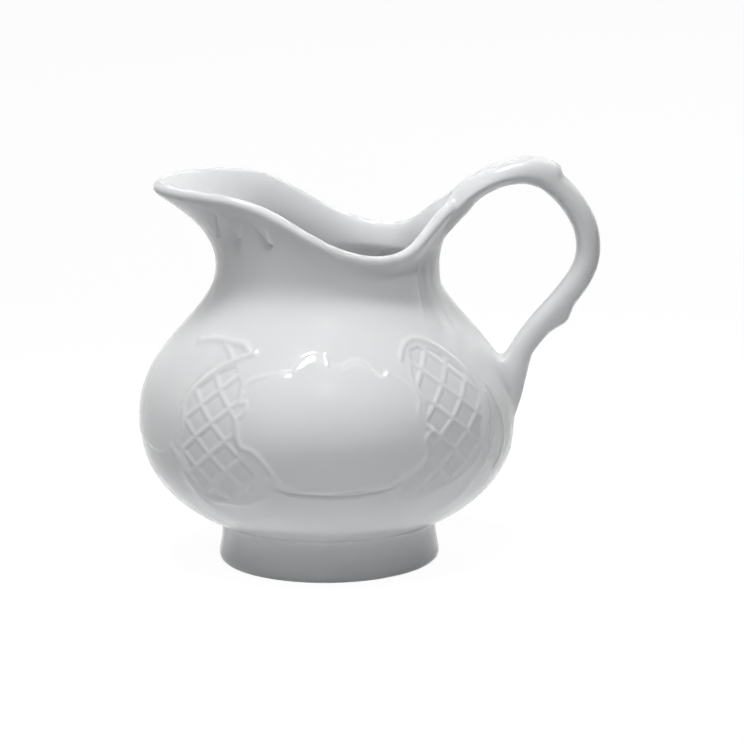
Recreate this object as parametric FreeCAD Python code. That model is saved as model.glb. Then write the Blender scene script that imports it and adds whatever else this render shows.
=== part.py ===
import FreeCAD, Part
import math
import os

os.makedirs("parts", exist_ok=True)
V = FreeCAD.Vector

# Milk jug, one glazed porcelain casting. The axis of the bowl is Z, the foot stands on z = 0,
# the spout points along -X and the handle along +X. Millimetres throughout.

# foot ring
foot_radius = 25.2
foot_height = 9.3            # up to where the bowl rests on it
foot_width = 4.2
foot_flare = 0.9

# bowl
belly_radius = 42.6
bowl_depth = 27.4            # from the widest level down to the underside of the bowl
shoulder_rise = 36.0         # from the widest level up to the neck
neck_radius = 24.8
neck_squeeze = 2.4           # the neck is a little oval, narrower across
shoulder_skew = 1.25         # above 1 keeps the shoulder full before it falls to the neck
wall = 2.7

# rim: lowest at the sides, drawn out and up to the spout in front and to the handle behind
mouth_spread = 0.2           # beyond the neck
mouth_squeeze = 2.8
lip_radius = 1.5
side_rise = 2.7              # above the neck
side_flare = 66.0            # slope of the wall under the lip, degrees from level
spout_rise = 16.8            # above the sides
spout_reach = 12.2           # beyond the mouth
spout_spread = 34.0          # degrees to each side over which the spout opens
spout_flare = 33.0
back_rise = 12.4
back_reach = 4.8
back_spread = 17.0
back_flare = 50.0

# handle
handle_span = 19.4           # beyond the widest part of the bowl
handle_rise = 8.4            # above the lip it leaves
handle_depth = 5.4           # across the strap, in the plane of the loop
handle_width = 8.2
root_width = 11.4            # the strap is wider where it leaves the rim
groove_depth = 1.6           # the lips run on along the strap with a hollow between them
tail_rise = 15.0             # above the widest level, where the loop comes back to the bowl
tail_length = 11.5           # the leaf that runs on down the bowl
thumb_at = 0.425             # share of the way along the strap
thumb_rise = 1.5
knuckle_at = 0.765
knuckle_rise = 0.9
tail_fillet = 1.2
foot_fillet = 1.0

columns = 72                 # round the bowl
bowl_drop, bowl_round = 2.2, 2.06    # powers of the bowl's lower curve


def under_drop(radius):
    # how far below the widest level the outside of the bowl has this radius
    return bowl_depth * (1 - min(radius / belly_radius, 1.0) ** bowl_round) ** (1 / bowl_drop)


# levels and radii that follow from the sizes above
belly_height = foot_height + under_drop(foot_radius - foot_flare)
neck_height = belly_height + shoulder_rise
side_height = neck_height + side_rise
spout_height = side_height + spout_rise
back_height = side_height + back_rise
mouth_radius = neck_radius + mouth_spread
back_radius = mouth_radius + back_reach
handle_reach = belly_radius + handle_span
handle_top = back_height + handle_rise
tail_height = belly_height + tail_rise


def arc(start, end, count):
    return [start + (end - start) * i / count for i in range(count + 1)]


def bowl_side(a):
    # lower half of the bowl, a = 0 at the widest level and 90 degrees at the centre below
    return (belly_radius * math.cos(a) ** (2 / bowl_round), belly_height - bowl_depth * math.sin(a) ** (2 / bowl_drop))


def bump(angle, spread):
    return math.exp(-(angle / spread) ** 2)


def sides(front):
    # 1 at the sides of the jug, nothing at the spout and the handle
    return bump(front - 90.0, 38.0)


def neck_at(front):
    return neck_radius - neck_squeeze * sides(front)


def shoulder_radius(z, front=180.0):
    u = min(max((z - belly_height) / (neck_height - belly_height), 0.0), 1.0)
    neck = neck_at(front)
    return neck + (belly_radius - neck) * (1 + math.cos(math.pi * u ** shoulder_skew)) / 2


def rim(front):
    # front: degrees away from the spout, 0 to 180
    back = 180.0 - front
    radius = (mouth_radius + spout_reach * bump(front, spout_spread) + back_reach * bump(back, back_spread)
              - mouth_squeeze * sides(front))
    height = (side_height + spout_rise / (1 + (front / 82.0) ** 4.6)
              + back_rise * bump(back, 1.9 * back_spread))
    spout_share, back_share = bump(front, 1.3 * spout_spread), bump(back, 1.6 * back_spread)
    flare = side_flare + (spout_flare - side_flare) * spout_share + (back_flare - side_flare) * back_share
    return radius, height, math.radians(flare)


def hermite(p, tp, q, tq, s):
    a, b, c, d = 2 * s ** 3 - 3 * s ** 2 + 1, s ** 3 - 2 * s ** 2 + s, 3 * s ** 2 - 2 * s ** 3, s ** 3 - s ** 2
    return tuple(a * p[i] + b * tp[i] + c * q[i] + d * tq[i] for i in (0, 1))


def offset(points, distance):
    # the same line moved to the inside of the bowl, square to itself
    moved = []
    for i, (r, z) in enumerate(points):
        r0, z0 = points[max(i - 1, 0)]
        r1, z1 = points[min(i + 1, len(points) - 1)]
        length = math.hypot(r1 - r0, z1 - z0)
        moved.append((r - distance * (z1 - z0) / length, z + distance * (r1 - r0) / length))
    return moved


def low_line(front):
    line = [bowl_side(math.radians(a)) for a in arc(85.0, 0.0, 15)]
    for z in arc(belly_height, neck_height, 13)[1:]:
        line.append((shoulder_radius(z, front), z))
    return line


def wall_line(front):
    # one full section of the wall: outside from the underside to the lip, inside back to the floor
    radius, height, slope = rim(front)
    outside = low_line(front)
    inside = offset(outside, wall)
    inside[-1] = (neck_at(front) - wall, neck_height)
    centre = (radius, height - lip_radius)
    along = (math.cos(slope), math.sin(slope))
    out_lip = (centre[0] + lip_radius * along[1], centre[1] - lip_radius * along[0])
    in_lip = (centre[0] - lip_radius * along[1], centre[1] + lip_radius * along[0])
    run = 1.25 * math.hypot(out_lip[0] - neck_at(front), out_lip[1] - neck_height)
    start, finish = (0.0, 0.85 * run), (run * along[0], run * along[1])
    steps = arc(0.0, 1.0, 8)
    flare_out = [hermite(outside[-1], start, out_lip, finish, s) for s in steps]
    flare_in = [hermite(inside[-1], start, in_lip, finish, s) for s in steps]
    crest = []
    for b in arc(slope - math.pi / 2, slope + math.pi / 2, 6)[1:-1]:
        crest.append((centre[0] + lip_radius * math.cos(b), centre[1] + lip_radius * math.sin(b)))
    return outside + flare_out[1:] + crest + flare_in[::-1] + inside[-2::-1]


def cavity_line(front):
    # the hollow, let half way into the wall and carried on past the lip
    radius, height, slope = rim(front)
    inside = offset(low_line(front), 0.5 * wall)
    inside[-1] = (neck_at(front) - 0.5 * wall, neck_height)
    centre = (radius, height - lip_radius)
    along = (math.cos(slope), math.sin(slope))
    run = 1.25 * math.hypot(centre[0] - neck_at(front), centre[1] - neck_height)
    start, finish = (0.0, 0.85 * run), (run * along[0], run * along[1])
    flare = [hermite(inside[-1], start, centre, finish, s) for s in arc(0.0, 1.0, 8)]
    past = [(centre[0] + 0.9 * along[0], centre[1] + 0.9 * along[1])]
    dome = [(0.95 * radius, height + 0.4), (0.75 * radius, height + 1.5), (0.4 * mouth_radius, spout_height + 7.0)]
    return inside + flare[1:] + past + dome


def close_spline(points):
    # poles of the uniform closed cubic that passes through the points
    n = len(points)
    poles = list(points)
    for _ in range(44):
        poles = [(points[i] * 6 - poles[i - 1] - poles[(i + 1) % n]) * 0.25 for i in range(n)]
    return poles


def ring_solid(rings):
    # a smooth solid through closed rings, flat at both ends
    count, around = len(rings), len(rings[0])
    steps = [0.0]
    for lower, upper in zip(rings, rings[1:]):
        steps.append(steps[-1] + sum((b - a).Length for a, b in zip(lower, upper)) / around)
    nets = [close_spline(ring) for ring in rings]
    poles, curve = [], None
    for i in range(around):
        curve = Part.BSplineCurve()
        curve.interpolate(Points=[net[i] for net in nets], Parameters=steps)
        poles.append(curve.getPoles())
    surface = Part.BSplineSurface()
    surface.buildFromPolesMultsKnots(poles, [1] * (around + 1), curve.getMultiplicities(),
                                     [float(i) for i in range(around + 1)], curve.getKnots(),
                                     True, False, 3, 3)
    skin = surface.toShape()
    ends = [e for e in skin.Edges if e.isClosed()]
    caps = [Part.Face(Part.Wire([e])) for e in ends]
    shell = Part.Shell([skin] + caps)
    shell.sewShape()
    return Part.Solid(shell)


def bowl_rings(line_at):
    lines = []
    for i in range(columns):
        turn = 360.0 * i / columns - 90.0            # the seam lies on the -Y side
        front = abs(180.0 - (turn % 360.0))
        lines.append((math.radians(turn), line_at(front)))
    return [[V(line[k][0] * math.cos(t), line[k][0] * math.sin(t), line[k][1]) for t, line in lines]
            for k in range(len(lines[0][1]))]


def foot():
    # a flared ring, hollow beneath, its top let into the underside of the bowl
    inner, waist = foot_radius - foot_width, foot_radius - foot_flare
    let_in = 0.45 * wall                             # the foot's top lies inside the wall of the bowl
    outer_top = belly_height - under_drop(waist - 0.2) + let_in
    inner_top = belly_height - under_drop(inner - 1.2) + let_in
    profile = [V(inner + 0.9, 0, 0), V(foot_radius - 1.0, 0, 0), V(foot_radius, 0, 1.3),
               V(waist, 0, 0.75 * foot_height), V(waist - 0.2, 0, outer_top),
               V(inner - 1.2, 0, inner_top), V(inner - 0.6, 0, 0.32 * foot_height), V(inner, 0, 0.9)]
    outer = Part.BSplineCurve()
    outer.interpolate(Points=profile[2:5])
    edges = [Part.makeLine(profile[0], profile[1]),
             Part.Arc(profile[1], profile[1] + V(0.75, 0, 0.42), profile[2]).toShape(),
             outer.toShape()]
    edges += [Part.makeLine(profile[i], profile[(i + 1) % 8]) for i in range(4, 8)]
    return Part.Face(Part.Wire(edges)).revolve(V(0, 0, 0), V(0, 0, 1), 360)


def loop_path():
    # centre line of the handle: up inside the back of the neck, out of the lip, over, down and in
    x0, z0 = back_radius, back_height - 2.6
    top, reach = handle_top - handle_depth / 2 - 0.3, handle_reach - handle_depth / 2
    low_x, low_z = shoulder_radius(tail_height) + 6.9, tail_height + 1.9
    path = [(neck_radius - 1.4, neck_height - 3.4), (neck_radius - 0.3, neck_height + 1.6),
            (x0 - 3.5, z0 - 4.6)]
    for fx, fz in ((0.05, 0.36), (0.18, 0.69), (0.33, 0.92), (0.50, 1.00), (0.65, 0.87)):
        path.append((x0 + fx * (reach - x0), z0 + fz * (top - z0)))
    span = top - low_z
    path += [(reach - 6.7, top - 0.090 * span), (reach - 3.1, top - 0.195 * span),
             (reach - 0.5, top - 0.325 * span), (reach - 0.1, top - 0.475 * span),
             (reach - 1.8, top - 0.60 * span), (reach - 5.3, top - 0.735 * span),
             (low_x + 0.34 * (reach - low_x), top - 0.865 * span), (low_x, low_z)]
    for drop, lift in ((0.30, 3.0), (0.65, 0.1), (1.0, -3.2)):
        z = tail_height - drop * tail_length
        path.append((shoulder_radius(z) + lift, z))
    return path


def ease(s, start, end):
    u = min(max((s - start) / (end - start), 0.0), 1.0)
    return u * u * (3 - 2 * u)


def handle():
    path = Part.BSplineCurve()
    path.interpolate([V(x, 0, z) for x, z in loop_path()])
    first, last = path.FirstParameter, path.LastParameter
    rings = []
    stations = 100
    for i in range(stations + 1):
        s = i / stations
        centre, along = path.value(first + s * (last - first)), path.tangent(first + s * (last - first))[0]
        across = V(-along.z, 0, along.x)             # to the outside of the loop
        born, root, tail = ease(s, 0.0, 0.13), 1 - ease(s, 0.13, 0.50), ease(s, 0.74, 1.0)
        half_width = 0.5 * (handle_width + (root_width - handle_width) * root) * (0.42 + 0.58 * born)
        half_width *= 1 - 0.45 * tail
        half_depth = 0.5 * handle_depth * (0.30 + 0.70 * born) * (1 + 0.04 * root + 0.12 * tail)
        thumb = thumb_rise * ease(s, thumb_at - 0.13, thumb_at) * (1 - ease(s, thumb_at, thumb_at + 0.022))
        knuckle = knuckle_rise * bump(s - knuckle_at, 0.028)
        square = 0.62 + 0.30 * ease(s, 0.15, 0.45)   # the section is boxy at the lip, rounder beyond
        ring = []
        for k in range(32):
            a = 2 * math.pi * k / 32
            side = math.copysign(abs(math.cos(a)) ** square, math.cos(a))
            out = math.copysign(abs(math.sin(a)) ** square, math.sin(a))
            lift = half_depth * out
            if out > 0:
                lift += (thumb + knuckle) * out - groove_depth * root * born * bump(side, 0.55) * out
            ring.append(centre + V(0, half_width * side, 0) + across * lift)
        rings.append(ring)
    return ring_solid(rings)


bowl = ring_solid(bowl_rings(wall_line))
hollow = ring_solid(bowl_rings(cavity_line))
strap = handle().cut(hollow)
jug = bowl.fuse([foot(), strap])
jug = jug.removeSplitter()


def edges_between(shape, low, high, reach):
    # the edges that lie wholly between two levels and reach out at least so far from the axis
    found = []
    for edge in shape.Edges:
        box = edge.BoundBox
        if box.ZMin > low and box.ZMax < high and max(box.XMax, -box.YMin) > reach:
            found.append(edge)
    return found


# glaze pools in the corner round the lower end of the strap and in the one above the foot
jug = jug.makeFillet(tail_fillet, edges_between(jug, tail_height - tail_length - 3.0,
                                                tail_height + 1.0, 0.9 * neck_radius))
jug = jug.makeFillet(foot_fillet, edges_between(jug, foot_height - 1.2, foot_height + 1.6,
                                                foot_radius - foot_flare - 1.6))

print("solids", len(jug.Solids), "faces", len(jug.Faces), "valid", jug.isValid(),
      "volume cm3", round(jug.Volume / 1000, 2), "box", jug.BoundBox)
jug.exportStep("parts/jug.step")
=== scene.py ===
import math

import bmesh
import bpy
from mathutils import Matrix, Vector


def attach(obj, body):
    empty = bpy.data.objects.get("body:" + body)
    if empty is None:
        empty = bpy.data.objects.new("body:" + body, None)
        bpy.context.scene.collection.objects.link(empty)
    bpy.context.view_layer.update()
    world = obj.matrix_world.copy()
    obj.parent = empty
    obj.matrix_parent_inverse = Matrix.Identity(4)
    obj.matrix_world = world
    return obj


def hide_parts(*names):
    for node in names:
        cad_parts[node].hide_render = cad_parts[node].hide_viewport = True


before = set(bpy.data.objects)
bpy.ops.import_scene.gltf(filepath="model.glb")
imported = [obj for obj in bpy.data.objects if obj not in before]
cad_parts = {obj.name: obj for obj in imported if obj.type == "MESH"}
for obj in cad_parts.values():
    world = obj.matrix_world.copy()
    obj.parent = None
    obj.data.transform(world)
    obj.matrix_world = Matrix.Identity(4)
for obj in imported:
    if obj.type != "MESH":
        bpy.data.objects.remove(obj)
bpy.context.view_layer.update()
mm = 0.001


def spaced(start, end, count):
    return [start + (end - start) * i / count for i in range(count + 1)]


def ease(value, start, end):
    u = min(max((value - start) / (end - start), 0.0), 1.0)
    return u * u * (3 - 2 * u)


def bump(value, spread):
    return math.exp(-(value / spread) ** 2)


def hermite(p, leave, q, arrive, s):
    a, b = 2 * s ** 3 - 3 * s ** 2 + 1, s ** 3 - 2 * s ** 2 + s
    c, d = 3 * s ** 2 - 2 * s ** 3, s ** 3 - s ** 2
    return tuple(a * p[i] + b * leave[i] + c * q[i] + d * arrive[i] for i in (0, 1))


def nodeInput(node, name, value):
    node.inputs[name].default_value = value


def addToScene(name, data):
    thing = bpy.data.objects.new(name, data)
    bpy.context.scene.collection.objects.link(thing)
    return thing


# the jug's form: sizes in millimetres, bearings, spreads and flares in degrees
jugForm = {
    "footRadius": 25.2, "footHeight": 9.3, "footWidth": 4.2, "footFlare": 0.9, "footStep": 0.9,
    "hollow": [(0.0, 5.1), (7.0, 5.3), (14.0, 6.1)],
    "bellyRadius": 42.6, "bellyHeight": 32.4, "bowlDepth": 27.4, "bowlDrop": 2.2, "bowlRound": 2.06,
    "neckRadius": 24.8, "neckSqueeze": 2.4, "neckHeight": 68.4, "shoulderSkew": 1.25, "wall": 2.7,
    "mouthRadius": 25.0, "mouthSqueeze": 2.8, "lipRadius": 1.5, "lipFullness": 1.11,
    "sideHeight": 71.1, "sideFlare": 66.0, "sideSpread": 38.0,
    "spoutRise": 16.8, "spoutReach": 12.2, "spoutSpread": 34.0, "spoutFlare": 33.0,
    "crestSpread": 82.0, "crestPower": 4.6,
    "backRise": 12.4, "backReach": 4.8, "backSpread": 17.0, "backFlare": 50.0,
    "spoutFlareSpan": 1.3, "backRiseSpan": 1.9, "backFlareSpan": 1.6,
    "flarePull": 1.25, "neckPull": 0.85,
    "floorDrops": (1.9, 1.8, 1.2), "floorRadius": 9.0, "floorEdge": 0.72,
    "columns": 96, "beltRows": 29, "neckRows": 8, "insideRows": 7,
}


def bowlSide(a):
    # radius and level of the bowl below the belly, at an angle down from it
    f = jugForm
    return (f["bellyRadius"] * math.cos(a) ** (2 / f["bowlRound"]),
            f["bellyHeight"] - f["bowlDepth"] * math.sin(a) ** (2 / f["bowlDrop"]))


def sides(front):
    # 1 at the sides of the jug, nothing at the spout and the handle
    return bump(front - 90.0, jugForm["sideSpread"])


def neckAt(front):
    return jugForm["neckRadius"] - jugForm["neckSqueeze"] * sides(front)


def frontAngle(x, y):
    # degrees away from the spout, the same on both sides
    return math.degrees(math.atan2(abs(y), -x))


def outerRadius(z, front):
    # radius of the plain bowl at a level, outside
    f = jugForm
    if z >= f["bellyHeight"]:
        u = min((z - f["bellyHeight"]) / (f["neckHeight"] - f["bellyHeight"]), 1.0)
        neck = neckAt(front)
        fall = (1 + math.cos(math.pi * u ** f["shoulderSkew"])) / 2
        return neck + (f["bellyRadius"] - neck) * fall
    drop = min((f["bellyHeight"] - z) / f["bowlDepth"], 1.0)
    return f["bellyRadius"] * (1 - drop ** f["bowlDrop"]) ** (1 / f["bowlRound"])


def rim(front):
    # radius and height of the lip's middle, and its flare
    f = jugForm
    back = 180.0 - front
    radius = (f["mouthRadius"] + f["spoutReach"] * bump(front, f["spoutSpread"])
              + f["backReach"] * bump(back, f["backSpread"]) - f["mouthSqueeze"] * sides(front))
    height = (f["sideHeight"] + f["spoutRise"] / (1 + (front / f["crestSpread"]) ** f["crestPower"])
              + f["backRise"] * bump(back, f["backRiseSpan"] * f["backSpread"]))
    spoutTurn, backTurn = f["spoutFlare"] - f["sideFlare"], f["backFlare"] - f["sideFlare"]
    flare = (f["sideFlare"] + spoutTurn * bump(front, f["spoutFlareSpan"] * f["spoutSpread"])
             + backTurn * bump(back, f["backFlareSpan"] * f["backSpread"]))
    return radius, height, math.radians(flare)


def evenly(line, count):
    # the same open line with its points spaced evenly
    lengths = [0.0]
    for a, b in zip(line, line[1:]):
        lengths.append(lengths[-1] + math.dist(a, b))
    points, k = [], 0
    for i in range(count + 1):
        want = lengths[-1] * i / count
        while k < len(line) - 2 and lengths[k + 1] < want:
            k += 1
        share = (want - lengths[k]) / (lengths[k + 1] - lengths[k])
        points.append(tuple(line[k][j] + (line[k + 1][j] - line[k][j]) * share for j in (0, 1)))
    return points


def insideOf(points, distance):
    # the same line moved square to itself, towards the axis
    moved = []
    for i, (r, z) in enumerate(points):
        r0, z0 = points[max(i - 1, 0)]
        r1, z1 = points[min(i + 1, len(points) - 1)]
        length = math.hypot(r1 - r0, z1 - z0)
        moved.append((r - distance * (z1 - z0) / length, z + distance * (r1 - r0) / length))
    return moved


def footLine():
    # from the centre of the hollow under the foot out to the corner below the bowl
    f = jugForm
    outer, top, flare = f["footRadius"], f["footHeight"], f["footFlare"]
    inner = outer - f["footWidth"]
    innerSide = [(inner - 1.9, 7.2), (inner - 1.0, 6.2), (inner - 0.5, 2.8), (inner, 0.8)]
    standing = [(inner + 0.9, 0.0), (outer - 1.1, 0.0)]
    outerSide = [(outer - 0.05, 0.6), (outer + 0.02, 1.9), (outer - 0.55 * flare, 0.42 * top),
                 (outer - 0.95 * flare, 0.78 * top), (outer - flare + 0.05, top - 0.5),
                 (outer - flare + 0.55, top + 0.35)]
    return f["hollow"] + innerSide + standing + outerSide


def beltLine(front):
    # outside of the bowl from the corner above the foot to the neck, in even steps
    f = jugForm
    start = next(a for a in spaced(80.0, 0.0, 400)
                 if bowlSide(math.radians(a))[0] > f["footRadius"] + f["footStep"])
    line = [bowlSide(math.radians(a)) for a in spaced(start, 0.0, 60)]
    line += [(outerRadius(z, front), z) for z in spaced(f["bellyHeight"], f["neckHeight"], 120)[1:]]
    return evenly(line, f["beltRows"])


def upperLines(front):
    # outside flare, lip and inside flare at one bearing
    f = jugForm
    radius, height, slope = rim(front)
    lip, neck = f["lipRadius"], neckAt(front)
    centre = (radius, height - lip)
    along = (math.cos(slope), math.sin(slope))
    outLip = (centre[0] + lip * along[1], centre[1] - lip * along[0])
    inLip = (centre[0] - lip * along[1], centre[1] + lip * along[0])
    run = f["flarePull"] * math.hypot(outLip[0] - neck, outLip[1] - f["neckHeight"])
    leave, arrive = (0.0, f["neckPull"] * run), (run * along[0], run * along[1])
    outside = [hermite((neck, f["neckHeight"]), leave, outLip, arrive, s)
               for s in spaced(0.0, 1.0, f["neckRows"])]
    inside = [hermite((neck - f["wall"], f["neckHeight"]), leave, inLip, arrive, s)
              for s in spaced(0.0, 1.0, f["neckRows"] - 2)]
    full = f["lipFullness"] * lip                    # the smoothing draws the lip in by a tenth
    crest = [(centre[0] + full * math.cos(b), centre[1] + full * math.sin(b))
             for b in spaced(slope - math.pi / 2, slope + math.pi / 2, 4)[1:-1]]
    return outside[1:] + crest + inside[::-1]


def wallLine(front):
    # one whole section, from the centre underneath to the centre of the floor inside
    f = jugForm
    belt = beltLine(front)
    inner = insideOf(belt, f["wall"])
    inner[-1] = (neckAt(front) - f["wall"], f["neckHeight"])
    radius, level = inner[1]
    inner = evenly(inner[1:], f["insideRows"])
    middle, ring, edge = f["floorDrops"]
    floor = [(0.0, level - middle), (f["floorRadius"], level - ring),
             (f["floorEdge"] * radius, level - edge)]
    return footLine() + belt + upperLines(front) + inner[-2::-1] + floor[::-1]


# the handle: sizes in millimetres; rootBlend, thumbAt, knuckleAt and the like are shares of the
# strap's length from the lip
handleForm = {
    "reach": 62.0, "top": 92.0, "depth": 5.4, "width": 8.2, "groove": 0.5,
    "fullness": 1.03, "corners": 0.42, "endThicken": 0.04, "tailNarrow": 0.12,
    "widestAt": -0.25, "upperTaper": 0.34, "lowerTaper": 0.28,
    "rootWidth": 11.6, "rootDepth": 1.4, "rootReach": 0.14, "rootBlend": (0.02, 0.42),
    "rootSwell": 1.05, "swellSpread": 17.0, "swellLevels": (58.0, 71.0),
    "rising": [(-0.055, -0.08), (0.0, 0.18), (0.07, 0.42), (0.18, 0.68), (0.33, 0.92),
               (0.50, 1.00), (0.65, 0.87)],
    "falling": [(6.7, 0.090), (3.1, 0.195), (0.5, 0.325), (0.1, 0.475), (2.0, 0.60), (6.1, 0.735)],
    "startDrop": 2.6, "topTrim": 0.3, "lowBend": (0.28, 0.865), "lowEnd": (6.1, 0.9),
    "thumbAt": 0.358, "thumbRise": 1.4, "thumbRun": 0.16, "thumbEdge": 0.018,
    "knuckleAt": 0.838, "knuckleRise": 1.25, "knuckleRun": (0.030, 0.046),
    "tailBlend": (0.80, 1.0), "tailHeight": 47.4, "tailTop": 45.6, "tailLength": 0.64,
    "tailWidth": (0.50, 0.18), "tailRounding": 0.16, "tailLift": (1.4, 0.7),
    "tailDraw": (0.76, 0.84),
    "rings": 72, "firstRing": 3, "rootColumns": 6, "lipRows": 4, "neckRows": 4,
    "tailColumns": 6, "tailRows": 8, "betweenEnds": 65.0,
}


def loopPath():
    # middle of the strap, from the back lip over and down to the bowl
    h = handleForm
    x0 = jugForm["mouthRadius"] + jugForm["backReach"]
    z0 = jugForm["sideHeight"] + jugForm["backRise"] - h["startDrop"]
    top, reach = h["top"] - h["depth"] / 2 - h["topTrim"], h["reach"] - h["depth"] / 2
    lowX = outerRadius(h["tailHeight"], 180.0) + h["lowEnd"][0]
    lowZ = h["tailHeight"] + h["lowEnd"][1]
    span = top - lowZ
    path = [(x0 + fx * (reach - x0), z0 + fz * (top - z0)) for fx, fz in h["rising"]]
    path += [(reach - dx, top - fz * span) for dx, fz in h["falling"]]
    bendX, bendZ = h["lowBend"]
    path += [(lowX + bendX * (reach - lowX), top - bendZ * span), (lowX, lowZ)]
    return path


def smoothPath(points, count):
    # Catmull-Rom through the points, sampled evenly
    fine = []
    for i in range(len(points) - 1):
        p0, p1 = points[max(i - 1, 0)], points[i]
        p2, p3 = points[i + 1], points[min(i + 2, len(points) - 1)]
        for s in spaced(0.0, 1.0, 12)[:-1]:
            fine.append(tuple(
                0.5 * (2 * p1[k] + (p2[k] - p0[k]) * s
                       + (2 * p0[k] - 5 * p1[k] + 4 * p2[k] - p3[k]) * s * s
                       + (3 * p1[k] - p0[k] - 3 * p2[k] + p3[k]) * s ** 3) for k in (0, 1)))
    fine.append(tuple(points[-1]))
    return evenly(fine, count)


def strapSection(path, i):
    # everything that sets the strap's section at one ring
    h = handleForm
    s = i / (len(path) - 1)
    a, b = path[max(i - 1, 0)], path[min(i + 1, len(path) - 1)]
    along = Vector((b[0] - a[0], 0.0, b[1] - a[1])).normalized()
    root, tail = 1 - ease(s, *h["rootBlend"]), ease(s, *h["tailBlend"])
    width = h["width"] + (h["rootWidth"] - h["width"]) * root
    thumb = (h["thumbRise"] * ease(s, h["thumbAt"] - h["thumbRun"], h["thumbAt"])
             * (1 - ease(s, h["thumbAt"], h["thumbAt"] + h["thumbEdge"])))
    thicken = h["endThicken"]
    run = h["knuckleRun"][0] if s < h["knuckleAt"] else h["knuckleRun"][1]
    return {
        "centre": Vector((path[i][0], 0.0, path[i][1])), "out": Vector((-along.z, 0.0, along.x)),
        "halfWidth": 0.5 * width * (1 - h["tailNarrow"] * tail),
        "halfDepth": 0.5 * h["depth"] * (1 + thicken * root - thicken * tail),
        "deeper": h["rootDepth"] * max(1 - s / h["rootReach"], 0.0) ** 2,
        "lift": thumb + h["knuckleRise"] * bump(s - h["knuckleAt"], run),
        "groove": h["groove"] * root, "root": root,
    }


def strapPoint(section, u, v):
    # u across and v through the strap, both -1 to 1, on the rim of a square folded to a disc
    h, root = handleForm, section["root"]
    fold, full, widest = h["corners"], h["fullness"], h["widestAt"]
    side, rise = u * math.sqrt(1 - fold * v * v), v * math.sqrt(1 - fold * u * u)
    if v > widest:
        side *= 1 - root * h["upperTaper"] * (v - widest) / (1 - widest)
    else:
        side *= 1 - root * h["lowerTaper"] * (widest - v) / (1 + widest)
    height = full * section["halfDepth"] * rise      # the smoothing draws the strap in a little
    if v > 0:
        height += v * (section["lift"] - section["groove"] * (1 - u * u) ** 2)
    else:
        height += section["deeper"] * v
    across = Vector((0.0, full * section["halfWidth"] * side, 0.0))
    return (section["centre"] + section["out"] * height + across) * mm


def openEdges(bm):
    return [e for e in bm.edges if e.is_boundary]


def orderedRing(edges):
    # the vertices of a closed loop of edges, in order
    links = {}
    for e in edges:
        a, b = e.verts
        links.setdefault(a, []).append(b)
        links.setdefault(b, []).append(a)
    first = next(iter(links))
    ring, before = [first], None
    while True:
        here = ring[-1]
        ahead = next(v for v in links[here] if v is not before)
        if ahead is first:
            return ring
        ring.append(ahead)
        before = here


def spinBowl(bm, rowLayer, plain):
    line = []
    for k, (r, z) in enumerate(plain):
        v = bm.verts.new((r * mm, 0.0, z * mm))
        v[rowLayer] = k
        line.append(v)
    edges = [bm.edges.new(pair) for pair in zip(line, line[1:])]
    bmesh.ops.spin(bm, geom=line + edges, cent=(0, 0, 0), axis=(0, 0, 1), dvec=(0, 0, 0),
                   angle=2 * math.pi, steps=jugForm["columns"], use_merge=True,
                   use_normal_flip=False)
    bmesh.ops.remove_doubles(bm, verts=bm.verts, dist=1e-6)
    print("bowl spun,", len(bm.faces), "faces")


def shapeMouth(bm, rowLayer, beltStart, rootStart):
    # each bearing gets its own neck, flare and lip
    h = handleForm
    lines = {}
    for v in bm.verts:
        k = v[rowLayer]
        if k > beltStart and math.hypot(v.co.x, v.co.y) > mm:
            bearing = math.atan2(v.co.y, v.co.x)
            key = round(frontAngle(v.co.x, v.co.y), 3)
            if key not in lines:
                lines[key] = wallLine(key)
            r, z = lines[key][k]
            if k <= rootStart + 2:                   # fuller under the strap's root
                r += (h["rootSwell"] * bump(math.degrees(bearing), h["swellSpread"])
                      * ease(z, *h["swellLevels"]))
            v.co = Vector((r * math.cos(bearing), r * math.sin(bearing), z)) * mm


def openForStrap(bm, rowLayer, rootStart, rootRows, tailTop):
    # open the back lip and a patch of the bowl, where the strap leaves and comes back
    h = handleForm
    halfStep = math.pi / jugForm["columns"]
    slack = 1e-4
    rootHalf = h["rootColumns"] * halfStep + slack
    tailHalf = h["tailColumns"] * halfStep + slack
    rootFaces, tailFaces = [], []
    for face in bm.faces:
        turn = max(abs(math.atan2(v.co.y, v.co.x)) if v.co.x > 0 else math.pi for v in face.verts)
        span = [v[rowLayer] for v in face.verts]
        if turn < rootHalf and min(span) >= rootStart and max(span) <= rootStart + rootRows:
            rootFaces.append(face)
        if turn < tailHalf and min(span) >= tailTop - h["tailRows"] and max(span) <= tailTop:
            tailFaces.append(face)
    print("opened", len(rootFaces), "faces at the lip and", len(tailFaces), "on the bowl")
    bmesh.ops.delete(bm, geom=rootFaces + tailFaces, context="FACES")


def growStrap(bm, rowLayer, rootEdges, rootStart, rootRows):
    # out of the lip, ring by ring; the open edges of the last ring come back
    h = handleForm
    halfRoot = h["rootColumns"] * (math.pi / jugForm["columns"])
    uv = {}
    for v in orderedRing(rootEdges):
        u = math.atan2(v.co.y, v.co.x) / halfRoot
        uv[v] = (max(-1.0, min(1.0, u)), (v[rowLayer] - rootStart) / rootRows * 2 - 1)
    path = smoothPath(loopPath(), h["rings"])
    current = rootEdges
    for i in range(h["firstRing"], len(path)):
        section = strapSection(path, i)
        made = bmesh.ops.extrude_edge_only(bm, edges=current)["geom"]
        fresh = {}
        for v in (g for g in made if isinstance(g, bmesh.types.BMVert)):
            old = next(e.other_vert(v) for e in v.link_edges if e.other_vert(v) in uv)
            fresh[v] = uv[old]
            v.co = strapPoint(section, *uv[old])
        uv = fresh
        current = [g for g in made if isinstance(g, bmesh.types.BMEdge) and g.is_boundary]
    return current


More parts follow.
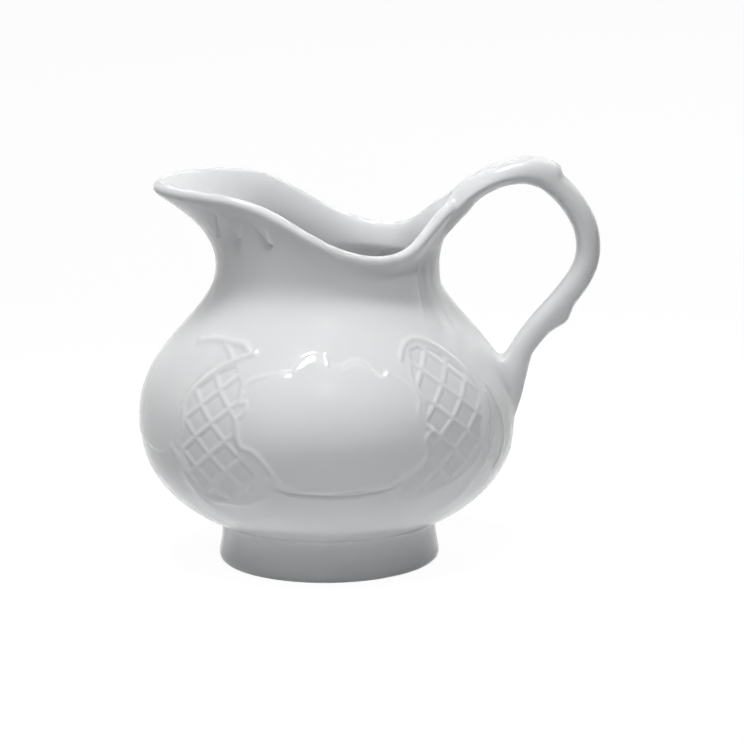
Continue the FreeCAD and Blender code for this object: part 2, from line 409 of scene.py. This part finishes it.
def raiseTail(bm, tailEdges):
    # the opening drawn to a leaf on the bowl, then one raised ring, whose open edges come back
    h = handleForm
    ring = orderedRing(tailEdges)
    low, high = min(v.co.z for v in ring), max(v.co.z for v in ring)
    foot, growth = h["tailWidth"]
    for v in ring:
        share = (v.co.z - low) / (high - low)
        z = high - (high - v.co.z) * h["tailLength"]
        y = v.co.y * ((foot + growth * share) * (1 - h["tailRounding"] * (2 * share - 1) ** 2))
        r = outerRadius(z / mm, 180.0) * mm
        v.co = Vector((math.sqrt(r * r - y * y), y, z))
    made = bmesh.ops.extrude_edge_only(bm, edges=tailEdges)["geom"]
    raised = [g for g in made if isinstance(g, bmesh.types.BMVert)]
    centre = sum((v.co for v in raised), Vector()) / len(raised)
    drawY, drawZ = h["tailDraw"]
    lift = Vector((h["tailLift"][0] * mm, 0.0, h["tailLift"][1] * mm))
    for v in raised:
        away = v.co - centre
        v.co = centre + Vector((away.x, away.y * drawY, away.z * drawZ)) + lift
    return [g for g in made if isinstance(g, bmesh.types.BMEdge) and g.is_boundary]


def makeCage():
    f, h = jugForm, handleForm
    bm = bmesh.new()
    rowLayer = bm.verts.layers.int.new("row")
    plain = wallLine(100.0)                          # a section near the side sets the rows
    beltStart, beltEnd = len(footLine()), len(footLine()) + f["beltRows"]
    rootStart = beltEnd + f["neckRows"] - h["neckRows"]
    rootRows = h["neckRows"] + h["lipRows"]
    levels = {k: z for k, (r, z) in enumerate(plain)
              if beltStart <= k <= beltEnd and z > f["bellyHeight"]}
    tailTop = min(levels, key=lambda k: abs(levels[k] - h["tailTop"]))

    spinBowl(bm, rowLayer, plain)
    shapeMouth(bm, rowLayer, beltStart, rootStart)
    openForStrap(bm, rowLayer, rootStart, rootRows, tailTop)
    rootEdges = [e for e in openEdges(bm) if e.verts[0].co.z > h["betweenEnds"] * mm]
    tailEdges = [e for e in openEdges(bm) if e.verts[0].co.z < h["betweenEnds"] * mm]
    current = growStrap(bm, rowLayer, rootEdges, rootStart, rootRows)
    lifted = raiseTail(bm, tailEdges)
    bmesh.ops.bridge_loops(bm, edges=current + lifted)
    bmesh.ops.recalc_face_normals(bm, faces=bm.faces)
    print("strap of", h["rings"] + 1, "rings bridged", len(current), "to", len(lifted))
    mesh = bpy.data.meshes.new("jugCage")
    bm.to_mesh(mesh)
    bm.free()
    return addToScene("jugCage", mesh)


bellyDegree = jugForm["bellyRadius"] * math.pi / 180     # millimetres to a degree of the belly

# moulded relief on the bowl: bearings in degrees from the jug's side, minus to the spout;
# levels, lifts and edges in millimetres
reliefForm = {
    "cellDepth": 0.25, "cellHalf": 2.62, "cellEdge": (0.25, 0.95),
    "barHalf": 0.16, "barSlope": 0.75,
    "latticeStep": (5.6, 3.5), "latticeNodes": ((-43.0, 36.0), (42.0, 39.6)),
    "leftField": [(-50.0, 33.5), (-48.8, 38.0), (-49.6, 42.0), (-47.0, 46.5), (-40.0, 50.4),
                  (-33.5, 52.3), (-29.5, 49.0), (-28.6, 44.0), (-28.8, 38.5), (-25.5, 33.0),
                  (-20.5, 28.5), (-24.0, 23.5), (-33.0, 21.6), (-41.5, 22.0), (-46.5, 27.0)],
    "rightField": [(21.5, 24.4), (31.0, 23.4), (38.5, 24.8), (47.0, 27.4), (53.0, 31.2),
                   (55.6, 37.0), (57.6, 43.5), (54.0, 49.0), (48.0, 53.0), (41.0, 55.2),
                   (34.5, 54.6), (31.0, 49.5), (32.6, 44.0), (31.0, 40.0), (32.6, 36.0),
                   (31.6, 31.6), (27.6, 28.6)],
    "panelLift": 0.24, "panelEdge": (-0.1, 0.7), "panelFade": (44.0, 60.0),
    "flute": 0.06, "fluteStep": 5.0, "fluteEdge": (1.0, 4.0),
    "panel": [(-95.0, 30.6), (-75.0, 30.4), (-64.0, 29.7), (-55.0, 30.6), (-51.2, 33.2),
              (-50.4, 38.0), (-51.4, 42.0), (-49.0, 46.5), (-45.0, 50.5), (-52.0, 56.5),
              (-66.0, 60.0), (-95.0, 61.0)],
    "pillow": 0.78, "pillowLevels": (25.6, 36.5, 53.5), "pillowSink": 0.55,
    "pillowEdge": (-0.3, 1.1), "pillowMiddle": 1.5, "pillowHalf": 29.0, "pillowSides": (0.55, 1.0),
    "cartouche": [(-28.4, 46.5), (-27.0, 48.7), (-20.0, 50.2), (-12.4, 50.8), (-10.2, 52.3),
                  (-7.4, 53.6), (-4.0, 54.0), (-0.2, 53.3), (1.4, 52.4), (6.0, 52.0),
                  (9.4, 52.8), (13.0, 52.9), (16.2, 51.9), (17.2, 50.3), (18.6, 49.4),
                  (21.0, 49.4), (22.6, 50.2), (26.0, 48.9), (29.6, 47.0), (31.2, 44.6),
                  (31.4, 31.0), (20.0, 24.0), (-18.0, 24.0), (-28.6, 34.0)],
    "leafLift": 0.95, "leafEdge": (-0.1, 0.35),
    "leaves": [                                      # tip first, then the two upper corners
        [(-62.5, 76.7), (-68.0, 84.8), (-57.0, 82.8)],
        [(-48.5, 77.2), (-54.5, 83.0), (-44.0, 82.2)],
        [(-29.0, 76.4), (-41.5, 82.2), (-31.5, 80.6)],
    ],
    "ribSteps": 5, "ribReach": 2.6, "edgeReach": 1.0,
}

# each rib: half width, height and the points that it passes through
ribs = {
    "scroll": (0.5, 0.18, [(-28.4, 46.5), (-27.0, 48.7), (-20.0, 50.2), (-12.4, 50.8),
        (-10.2, 52.3), (-7.4, 53.6), (-4.0, 54.0), (-0.2, 53.3), (1.4, 52.4)]),
    "scrollEye": (0.6, 0.34, [(0.4, 53.6), (1.2, 52.5)]),
    "rightScroll": (0.5, 0.16, [(1.6, 52.4), (6.0, 52.0), (9.4, 52.8), (13.0, 52.9),
        (16.2, 51.9), (17.2, 50.3)]),
    "scrollCurl": (0.55, 0.36, [(17.0, 50.6), (18.6, 49.4), (21.0, 49.4), (22.6, 50.2)]),
    "rightBracket": (0.52, 0.24, [(22.0, 50.4), (26.0, 48.9), (29.6, 47.0), (31.2, 44.6),
        (29.8, 41.6), (31.4, 39.2), (33.6, 38.2)]),
    "lowerBorder": (0.6, 0.34, [(33.4, 37.6), (31.0, 35.8), (31.4, 32.6), (28.4, 29.9),
        (22.4, 27.6), (18.0, 26.5), (8.0, 25.9), (-2.0, 25.9), (-12.0, 26.6), (-15.4, 28.8),
        (-18.2, 31.8), (-22.2, 34.5), (-26.0, 35.2), (-27.4, 37.4), (-28.6, 41.0)]),
    "leftCurl": (0.55, 0.26, [(-28.6, 41.0), (-26.0, 42.8), (-26.4, 44.6), (-28.6, 44.4),
        (-28.4, 46.5)]),
    "borderFold": (0.9, 0.22, [(-19.0, 27.2), (-12.0, 24.7), (0.0, 23.9), (12.0, 24.3),
        (20.0, 25.6)]),
    "leftStem": (1.0, 0.42, [(-53.0, 32.0), (-50.0, 29.5), (-46.4, 24.4), (-42.0, 19.6),
        (-36.0, 16.4)]),
    "leftHem": (0.75, 0.26, [(-46.8, 27.2), (-42.0, 22.0), (-33.2, 21.3), (-25.8, 21.6),
        (-19.0, 24.0)]),
    "leftLowHem": (0.85, 0.26, [(-36.0, 18.6), (-28.0, 17.6), (-20.0, 19.0), (-14.0, 21.6)]),
    "leftFrame": (0.62, 0.3, [(-50.6, 33.0), (-49.2, 38.0), (-50.0, 42.0), (-47.4, 46.4),
        (-40.2, 50.8), (-33.8, 52.9), (-29.0, 54.0)]),
    "leftBough": (0.75, 0.26, [(-60.0, 54.4), (-51.0, 55.6), (-43.0, 55.5), (-35.5, 55.4),
        (-31.0, 53.8)]),
    "leftTwig": (0.65, 0.22, [(-45.0, 55.2), (-41.0, 54.0), (-37.5, 52.4)]),
    "rightHem": (0.95, 0.36, [(57.0, 37.0), (53.6, 31.2), (47.2, 27.2), (38.4, 24.5),
        (31.0, 23.0), (23.0, 22.6)]),
    "rightStem": (0.95, 0.32, [(60.0, 33.0), (56.5, 28.0), (51.0, 24.0), (48.0, 20.6),
        (42.0, 18.0)]),
    "rightFrame": (0.62, 0.28, [(57.0, 37.0), (58.2, 43.4), (54.6, 49.4), (48.4, 53.6),
        (41.0, 55.9), (34.0, 55.3), (29.5, 52.6)]),
    "rightFrond": (0.65, 0.34, [(60.0, 42.5), (58.6, 38.0), (58.0, 33.0), (59.5, 28.5)]),
    "outerFrond": (0.7, 0.34, [(63.0, 43.5), (65.4, 39.0), (67.6, 34.0), (67.0, 29.0),
        (64.0, 25.5)]),
    "backFold": (0.9, 0.22, [(60.0, 47.5), (66.0, 50.0), (74.0, 51.0)]),
    "backHighFold": (0.9, 0.22, [(56.0, 52.0), (64.0, 54.5), (74.0, 55.0)]),
    "neckVein": (0.6, 0.26, [(52.0, 60.0), (55.5, 65.0), (57.0, 70.5)]),
    "rootVein": (0.85, 0.34, [(60.0, 58.0), (63.0, 64.0), (65.0, 70.0)]),
    "backVein": (0.85, 0.34, [(68.0, 56.0), (71.0, 62.0), (73.0, 69.0)]),
}

# each groove: half width, depth and points
grooves = {
    "borderGroove": (0.55, 0.26, [(-17.6, 28.4), (-13.0, 25.7), (-2.0, 24.9), (8.0, 24.9),
        (17.6, 25.6), (23.0, 27.2)]),
    "borderPit": (0.7, 0.42, [(20.6, 27.6), (21.6, 28.0)]),
}


def flat(point):
    # bearing and level as millimetres on the unrolled belly
    return point[0] * bellyDegree, point[1]


def closed(points):
    return [flat(p) for p in points + points[:1]]


def distanceTo(line, x, y):
    best = 1e9
    for (ax, ay), (bx, by) in zip(line, line[1:]):
        dx, dy = bx - ax, by - ay
        t = ((x - ax) * dx + (y - ay) * dy) / (dx * dx + dy * dy)
        t = 0.0 if t < 0 else 1.0 if t > 1 else t
        best = min(best, (x - ax - t * dx) ** 2 + (y - ay - t * dy) ** 2)
    return math.sqrt(best)


def insideShape(line, x, y):
    # millimetres inside a closed outline, negative outside
    crossing = False
    for (ax, ay), (bx, by) in zip(line, line[1:]):
        if (ay > y) != (by > y) and x < ax + (y - ay) / (by - ay) * (bx - ax):
            crossing = not crossing
    gap = distanceTo(line, x, y)
    return gap if crossing else -gap


def boxOf(line, margin):
    xs, ys = [p[0] for p in line], [p[1] for p in line]
    return min(xs) - margin, max(xs) + margin, min(ys) - margin, max(ys) + margin


def within(box, x, y):
    return box[0] < x < box[1] and box[2] < y < box[3]


def makeReliefPlan():
    # every outline laid flat once, with the box outside which it does nothing
    f = reliefForm
    plan = {"ribs": [], "grooves": [], "fields": [], "leaves": []}
    for kind, lines in (("ribs", ribs), ("grooves", grooves)):
        for half, height, points in lines.values():
            line = smoothPath([flat(p) for p in points], f["ribSteps"] * (len(points) - 1))
            plan[kind].append((half, height, line, boxOf(line, f["ribReach"] * half)))
    for name, node in zip(("leftField", "rightField"), f["latticeNodes"]):
        line = closed(f[name])
        plan["fields"].append((line, node, boxOf(line, 0.0)))
    for name in ("panel", "cartouche"):
        line = closed(f[name])
        plan[name] = (line, boxOf(line, f["edgeReach"]))
    for leaf in f["leaves"]:
        line = closed(leaf)
        plan["leaves"].append((line, boxOf(line, f["edgeReach"])))
    return plan


def cartoucheSwell(plan, theta, z, x, y):
    # swells above its lower border and sinks a little to the scroll
    f = reliefForm
    line, box = plan["cartouche"]
    if not within(box, x, y):
        return 0.0
    low, full, top = f["pillowLevels"]
    across = abs(theta - f["pillowMiddle"]) / f["pillowHalf"]
    swell = (ease(z, low, full) * (1 - f["pillowSink"] * ease(z, full, top))
             * (1 - ease(across, *f["pillowSides"])))
    return f["pillow"] * swell * ease(insideShape(line, x, y), *f["pillowEdge"])


def trellisCut(plan, theta, z, x, y):
    # diamond cells sunk between crossing bars
    f = reliefForm
    cut = 0.0
    for line, node, box in plan["fields"]:
        if within(box, x, y):
            deep = ease(insideShape(line, x, y), *f["cellEdge"])
            if deep > 0:
                stepAcross, stepUp = f["latticeStep"]
                a, b = (theta - node[0]) / stepAcross, (z - node[1]) / stepUp
                p, q = (a + b) / 2, (a - b) / 2
                gap = min(abs(p - round(p)), abs(q - round(q))) * 2 * f["cellHalf"]
                cut += deep * f["cellDepth"] * ease(gap, f["barHalf"], f["barHalf"] + f["barSlope"])
    return cut


def flutedPanel(plan, theta, z, x, y):
    f = reliefForm
    line, box = plan["panel"]
    if not within(box, x, y):
        return 0.0
    inner = insideShape(line, x, y)
    fade = 1 - ease(z, *f["panelFade"])
    wave = math.cos(2 * math.pi * theta / f["fluteStep"])
    flute = f["flute"] * wave * ease(inner, *f["fluteEdge"])
    return fade * (f["panelLift"] * ease(inner, *f["panelEdge"]) + flute)


def spoutLeaves(plan, x, y):
    # highest at the tip, falling to the lip
    f = reliefForm
    height = 0.0
    for line, box in plan["leaves"]:
        if within(box, x, y):
            tip, top = line[0][1], max(line[1][1], line[2][1])
            rise = f["leafLift"] * (1.1 - ease(y, tip, top))
            height += rise * ease(insideShape(line, x, y), *f["leafEdge"])
    return height


def strongest(lines, x, y):
    best = 0.0
    for half, amount, line, box in lines:
        if within(box, x, y):
            best = max(best, amount * bump(distanceTo(line, x, y), half))
    return best


def relief(plan, theta, z):
    # height of the moulded ornament at a bearing and a level
    x, y = theta * bellyDegree, z
    height = cartoucheSwell(plan, theta, z, x, y) - trellisCut(plan, theta, z, x, y)
    height += flutedPanel(plan, theta, z, x, y) + spoutLeaves(plan, x, y)
    return height + strongest(plan["ribs"], x, y) - strongest(plan["grooves"], x, y)


# how far round each kind of ornament the mesh is made finer, and which ribs are fine enough to ask
fineMesh = {
    "cuts": 3, "share": 0.3, "leaf": 0.9, "field": 0.8, "panel": 1.2, "panelBelow": 34.0,
    "rib": 1.4, "thinRib": 0.8, "highRib": 0.21, "thinnestRib": 0.51,
}


def reliefNear(plan, theta, z):
    # whether this place needs the finer mesh
    f = fineMesh
    x, y = theta * bellyDegree, z
    for line, box in plan["leaves"]:
        if within(box, x, y) and insideShape(line, x, y) > -f["leaf"]:
            return True
    line, box = plan["panel"]
    if z < f["panelBelow"] and within(box, x, y) and abs(insideShape(line, x, y)) < f["panel"]:
        return True
    for line, node, box in plan["fields"]:
        if within(box, x, y) and insideShape(line, x, y) > -f["field"]:
            return True
    for half, amount, line, box in plan["ribs"] + plan["grooves"]:
        if half < f["thinRib"] and (amount > f["highRib"] or half < f["thinnestRib"]):
            if within(box, x, y) and distanceTo(line, x, y) < f["rib"]:
                return True
    return False


# where the ornament may stand: levels and gaps in millimetres
wallZone = {
    "aboveFoot": 1.2, "footFade": 1.0, "seatTop": 68.0, "seatFade": (63.0, 67.0),
    "neckFrom": 66.0, "reliefTop": 86.0,
    "belowLip": 3.2, "insideNeck": 1.3, "strapFrom": 18.0, "strapFade": (68.0, 72.0),
    "wallGap": (0.35, 0.9), "tailCentre": 43.5, "tailSize": (10.0, 15.0), "tailFade": (0.75, 1.1),
    # the last three numbers on the next line set a band of painted shade in the crease where the
    # bowl meets the foot
    "footCreaseShade": 0.4, "creaseShadeSpread": 0.9, "creaseShadeBand": (2.0, 2.5),
}


def outsideFlare(x, y, z):
    # 1 on the outside of the neck and flare, below the lip and clear of the strap
    w = wallZone
    front = frontAngle(x, y)
    if z > rim(front)[1] - w["belowLip"] or math.hypot(x, y) < neckAt(front) - w["insideNeck"]:
        return 0.0
    return 1.0 if x < w["strapFrom"] else 1 - ease(z, *w["strapFade"])


def outsideWall(x, y, z):
    # 1 on the bowl's outer wall, falling to nothing away from it and towards the strap's lower end
    w = wallZone
    gap = abs(math.hypot(x, y) - outerRadius(z, frontAngle(x, y)))
    tailY, tailZ = w["tailSize"]
    away = math.hypot(y / tailY, (z - w["tailCentre"]) / tailZ) if x > 0 else 9.0
    return (1 - ease(gap, *w["wallGap"])) * ease(away, *w["tailFade"])


def outsideShare(x, y, z):
    return outsideFlare(x, y, z) if z > wallZone["neckFrom"] else outsideWall(x, y, z)


def outward(normal, x, y):
    return normal.x * x + normal.y * y


def sideBearing(x, y):
    # degrees from the jug's side, minus towards the spout
    return math.degrees(math.atan2(x, abs(y)))


def refineWall(bm, plan, bottom):
    f, fine = fineMesh, []
    for face in bm.faces:
        x, y, z = face.calc_center_median() / mm
        if z >= bottom and outward(face.normal, x, y) >= 0 and outsideShare(x, y, z) > f["share"]:
            if reliefNear(plan, sideBearing(x, y), z):
                fine.append(face)
    edges = list(dict.fromkeys(e for face in fine for e in face.edges))
    bmesh.ops.subdivide_edges(bm, edges=edges, cuts=f["cuts"], use_grid_fill=True)
    print("finer mesh in", len(fine), "faces, now", len(bm.faces))


def seatWall(bm, bottom):
    # the smoothed wall back on its true curve
    w, fade = wallZone, wallZone["footFade"]
    for v in bm.verts:
        x, y, z = v.co / mm
        if bottom - fade < z < w["seatTop"]:
            share = outsideWall(x, y, z)
            if share > 0:
                share *= ease(z, bottom - fade, bottom + fade) * (1 - ease(z, *w["seatFade"]))
                k = 1 + share * (outerRadius(z, frontAngle(x, y)) / math.hypot(x, y) - 1)
                v.co = Vector((x * k, y * k, z)) * mm
    bm.normal_update()


def raiseRelief(bm, plan, bottom):
    # the ornament stands square to the wall; a vertex layer of painted shade darkens the sunk cells
    # and grooves and the crease above the foot
    w = wallZone
    footHeight, footRadius = jugForm["footHeight"], jugForm["footRadius"]
    shadeLayer = bm.verts.layers.float.new("recessShade")
    moves = []
    for v in bm.verts:
        x, y, z = v.co / mm
        if bottom < z < w["reliefTop"] and outward(v.normal, x, y) > 0:
            share = outsideShare(x, y, z)
            lift = relief(plan, sideBearing(x, y), z) if share > 0 else 0.0
            if lift:
                moves.append((v, share * lift * mm))
                v[shadeLayer] = share * min(max(-lift / reliefForm["cellDepth"], 0.0), 1.0)
        # painted shade in the crease where the bowl meets the foot
        bandZ, bandR = w["creaseShadeBand"]
        if abs(z - footHeight) < bandZ and abs(math.hypot(x, y) - footRadius) < bandR:
            v[shadeLayer] = w["footCreaseShade"] * bump(z - footHeight, w["creaseShadeSpread"])
    for v, lift in moves:
        v.co += v.normal * lift
    print("relief moved", len(moves), "of", len(bm.verts), "vertices")


def makeJug():
    cage = makeCage()
    smooth = cage.modifiers.new("smooth", "SUBSURF")
    smooth.levels = smooth.render_levels = 1
    bpy.context.view_layer.update()
    bm = bmesh.new()
    bm.from_object(cage, bpy.context.evaluated_depsgraph_get())
    bpy.data.objects.remove(cage)
    print("smoothed cage,", len(bm.faces), "faces")

    plan = makeReliefPlan()
    bottom = jugForm["footHeight"] + wallZone["aboveFoot"]
    refineWall(bm, plan, bottom)
    seatWall(bm, bottom)
    raiseRelief(bm, plan, bottom)
    bmesh.ops.recalc_face_normals(bm, faces=bm.faces)
    mesh = bpy.data.meshes.new("jugPorcelain")
    bm.to_mesh(mesh)
    bm.free()
    mesh.shade_smooth()
    mesh.calc_loop_triangles()
    print("jug", len(mesh.loop_triangles), "triangles")
    return addToScene("jugPorcelain", mesh)


# clear glaze over white porcelain; scales are per metre, heights in metres
glazeLook = {
    "colour": (0.870, 0.880, 0.886, 1.0), "cloud": (0.850, 0.862, 0.872, 1.0),
    # the first colour on the next line is painted shade for the sunk ornament and the crease above
    # the foot
    "shadeColour": (0.822, 0.840, 0.855, 1.0), "biscuit": (0.800, 0.790, 0.765, 1.0), "ior": 1.46,
    "cloudScale": 32.0, "cloudRange": (0.35, 0.65),
    "gloss": (0.075, 0.125), "glossScale": 76.8, "glossRange": (0.3, 0.7),
    "waveScale": 170.0, "waveHeight": 0.00005, "waveStrength": 0.35,
    "biscuitRoughness": 0.65, "biscuitTop": 0.0007,
}


def makeGlaze():
    # faint clouds, with painted shade darker and cooler in the sunk ornament and the crease above
    # the foot, bare under the foot ring
    look = glazeLook
    glaze = bpy.data.materials.new("whiteGlaze")
    glaze.use_nodes = True
    nodes, links = glaze.node_tree.nodes, glaze.node_tree.links
    shader = nodes["Principled BSDF"]
    nodeInput(shader, "IOR", look["ior"])
    place = nodes.new("ShaderNodeTexCoord")

    def noise(scale, detail):
        cloud = nodes.new("ShaderNodeTexNoise")
        nodeInput(cloud, "Scale", scale)
        nodeInput(cloud, "Detail", detail)
        links.new(place.outputs["Object"], cloud.inputs["Vector"])
        return cloud.outputs["Fac"]

    def mapped(value, low, high, toLow, toHigh):
        ramp = nodes.new("ShaderNodeMapRange")
        for name, number in (("From Min", low), ("From Max", high),
                             ("To Min", toLow), ("To Max", toHigh)):
            nodeInput(ramp, name, number)
        links.new(value, ramp.inputs["Value"])
        return ramp.outputs["Result"]

    def mixed(factor, first, second):
        mix = nodes.new("ShaderNodeMix")
        mix.data_type = "RGBA"
        links.new(factor, mix.inputs["Factor"])
        for socket, colour in ((mix.inputs["A"], first), (mix.inputs["B"], second)):
            if isinstance(colour, tuple):
                socket.default_value = colour
            else:
                links.new(colour, socket)
        return mix.outputs["Result"]

    shadeAttribute = nodes.new("ShaderNodeAttribute")
    shadeAttribute.attribute_name = "recessShade"
    height = nodes.new("ShaderNodeSeparateXYZ")
    links.new(place.outputs["Object"], height.inputs[0])
    bare = mapped(height.outputs["Z"], look["biscuitTop"], 0.5 * look["biscuitTop"], 0.0, 1.0)
    clouds = mapped(noise(look["cloudScale"], 2.0), *look["cloudRange"], 0.0, 1.0)
    colour = mixed(clouds, look["colour"], look["cloud"])
    # painted shade: a darker, cooler colour where the ornament is sunk and in the crease above the
    # foot
    colour = mixed(shadeAttribute.outputs["Fac"], colour, look["shadeColour"])
    links.new(mixed(bare, colour, look["biscuit"]), shader.inputs["Base Color"])
    rough = nodes.new("ShaderNodeMix")
    links.new(bare, rough.inputs["Factor"])
    gloss = mapped(noise(look["glossScale"], 3.0), *look["glossRange"], *look["gloss"])
    links.new(gloss, rough.inputs["A"])
    nodeInput(rough, "B", look["biscuitRoughness"])
    links.new(rough.outputs["Result"], shader.inputs["Roughness"])
    wave = nodes.new("ShaderNodeBump")
    nodeInput(wave, "Strength", look["waveStrength"])
    nodeInput(wave, "Distance", look["waveHeight"])
    links.new(noise(look["waveScale"], 1.0), wave.inputs["Height"])
    links.new(wave.outputs["Normal"], shader.inputs["Normal"])
    return glaze


jug = makeJug()
jug.data.materials.append(makeGlaze())
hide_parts("jug")
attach(jug, "root")
print("jug piece placed")


# the room: a white paper floor and a plain grey world, both white where they are seen
studio = {
    "floorSize": 3.0, "floorColour": (0.83, 0.835, 0.84, 1.0), "floorRoughness": 0.9,
    "floorWhite": 1.12, "floorShare": 0.85, "worldGrey": 0.075,
}


def seenRays(nodes, links):
    # 1 for the rays that show the background: seen directly, mirrored or through glass
    rays = nodes.new("ShaderNodeLightPath")
    first, second = nodes.new("ShaderNodeMath"), nodes.new("ShaderNodeMath")
    first.operation = second.operation = "MAXIMUM"
    links.new(rays.outputs["Is Camera Ray"], first.inputs[0])
    links.new(rays.outputs["Is Glossy Ray"], first.inputs[1])
    links.new(first.outputs[0], second.inputs[0])
    links.new(rays.outputs["Is Transmission Ray"], second.inputs[1])
    return second.outputs[0]


def makeFloor():
    bm = bmesh.new()
    bmesh.ops.create_grid(bm, x_segments=4, y_segments=4, size=studio["floorSize"] / 2)
    mesh = bpy.data.meshes.new("studioFloor")
    bm.to_mesh(mesh)
    bm.free()
    paper = bpy.data.materials.new("whitePaper")
    paper.use_nodes = True
    nodes, links = paper.node_tree.nodes, paper.node_tree.links
    shader = nodes["Principled BSDF"]
    nodeInput(shader, "Base Color", studio["floorColour"])
    nodeInput(shader, "Roughness", studio["floorRoughness"])
    nodeInput(shader, "Specular IOR Level", 0.0)
    glow = nodes.new("ShaderNodeEmission")
    nodeInput(glow, "Strength", studio["floorWhite"])
    share = nodes.new("ShaderNodeMath")
    share.operation = "MULTIPLY"
    nodeInput(share, 1, studio["floorShare"])
    links.new(seenRays(nodes, links), share.inputs[0])
    both = nodes.new("ShaderNodeMixShader")
    for i, source in enumerate((share, shader, glow)):
        links.new(source.outputs[0], both.inputs[i])
    links.new(both.outputs[0], nodes["Material Output"].inputs["Surface"])
    mesh.materials.append(paper)
    addToScene("studioFloor", mesh)


def makeWorld():
    world = bpy.data.worlds.new("studioAir")
    bpy.context.scene.world = world
    world.use_nodes = True
    nodes, links = world.node_tree.nodes, world.node_tree.links
    background = nodes["Background"]
    nodeInput(background, "Color", (1, 1, 1, 1))
    strength = nodes.new("ShaderNodeMix")
    nodeInput(strength, "A", studio["worldGrey"])
    nodeInput(strength, "B", 1.0)
    links.new(seenRays(nodes, links), strength.inputs["Factor"])
    links.new(strength.outputs["Result"], background.inputs["Strength"])


# each lamp: place and size in metres, power in watts, spread of its light in degrees, and
# whether the glaze mirrors it
lamps = {
    "topSoftbox": {"place": (-0.125, -0.078, 0.83), "size": (0.125, 0.19), "power": 0.110,
                   "spread": 30.0, "mirrored": True},
    "frontKey": {"place": (0.01, -0.39, 0.80), "size": (0.15, 0.15), "power": 0.070,
                 "spread": 30.0, "mirrored": False},
    "frontFill": {"place": (-0.18, -0.51, 0.70), "size": (0.30, 0.30), "power": 0.48,
                  "spread": 180.0, "mirrored": False},
    "backFill": {"place": (0.22, 0.56, 0.65), "size": (0.30, 0.30), "power": 1.15,
                 "spread": 180.0, "mirrored": False},
}
lampAim = Vector((0.01, 0.0, 0.045))


def makeLamp(name):
    plan = lamps[name]
    lamp = bpy.data.lights.new(name, "AREA")
    lamp.energy = plan["power"]
    lamp.spread = math.radians(plan["spread"])
    lamp.shape = "RECTANGLE"
    lamp.size, lamp.size_y = plan["size"]
    thing = addToScene(name, lamp)
    thing.location = plan["place"]
    turn = (lampAim - Vector(plan["place"])).to_track_quat("-Z", "Y")
    thing.rotation_euler = turn.to_euler()
    thing.visible_glossy = plan["mirrored"]


# degrees, metres and, for the lens and sensor, millimetres
cameraPlan = {
    "distance": 1.0, "elevation": 13.1, "roll": 0.6, "target": (0.0102, 0.0, 0.0430),
    "lens": 212.9, "sensor": 36.0, "clip": (0.05, 20.0),
}


def makeCamera():
    plan = cameraPlan
    lift = math.radians(plan["elevation"])
    target = Vector(plan["target"])
    back = Vector((0.0, -math.cos(lift), math.sin(lift)))
    data = bpy.data.cameras.new("studioCamera")
    data.sensor_width = plan["sensor"]
    data.lens = plan["lens"]
    data.clip_start, data.clip_end = plan["clip"]
    camera = addToScene("studioCamera", data)
    turn = back.to_track_quat("Z", "Y").to_matrix().to_4x4()
    roll = Matrix.Rotation(math.radians(-plan["roll"]), 4, "Z")
    camera.matrix_world = Matrix.Translation(target + back * plan["distance"]) @ turn @ roll
    bpy.context.scene.camera = camera


makeFloor()
makeWorld()
for name in lamps:
    makeLamp(name)
makeCamera()
bpy.context.scene.view_settings.view_transform = "Standard"
print("studio set")
